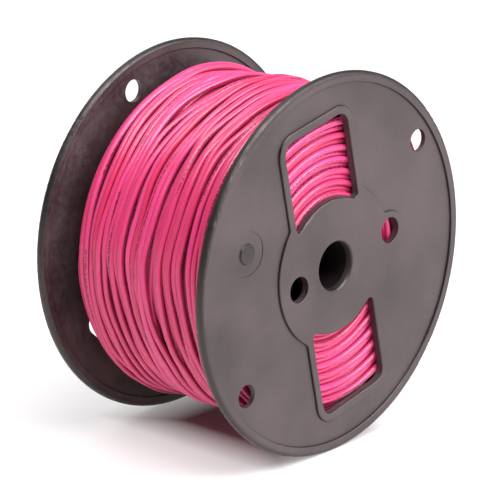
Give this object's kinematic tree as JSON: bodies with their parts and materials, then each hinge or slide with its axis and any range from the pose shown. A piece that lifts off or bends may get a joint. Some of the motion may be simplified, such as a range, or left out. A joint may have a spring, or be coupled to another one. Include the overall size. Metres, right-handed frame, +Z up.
{
  "type": "wire reel",
  "caption": "Moulded plastic reel with a window on each side of both hubs, wound nearly full of thin pink insulated wire.",
  "frame": {"origin": "the middle of the reel, on the arbor axis, halfway between the flanges", "axes": "+Y along the arbor axis from the front flange to the rear flange, +X to the right seen from the front flange, +Z up, standing on both rims"},
  "size_m": [0.165, 0.0952, 0.165],
  "materials": {
    "reel_plastic": "dark grey moulded plastic, fine satin grain",
    "wire_insulation": "pink insulation under a thin clear gloss skin",
    "conductor": "bare drawn copper"
  },
  "bodies": {
    "root": {"front_flange": "reel_plastic", "rear_flange": "reel_plastic", "barrel": "reel_plastic", "arbor_tube": "reel_plastic", "wire_layer_01": "wire_insulation", "wire_layer_02": "wire_insulation", "wire_layer_03": "wire_insulation", "wire_layer_04": "wire_insulation", "wire_layer_05": "wire_insulation", "wire_layer_06": "wire_insulation", "wire_layer_07": "wire_insulation", "wire_layer_08": "wire_insulation", "wire_layer_09": "wire_insulation", "wire_layer_10": "wire_insulation", "wire_layer_11": "wire_insulation", "wire_layer_12": "wire_insulation", "wire_layer_13": "wire_insulation", "wire_layer_14": "wire_insulation", "wire_layer_15": "wire_insulation", "wire_layer_16": "wire_insulation", "wire_outer_end": "wire_insulation", "conductor_outer_end": "conductor"}
  },
  "joints": []
}
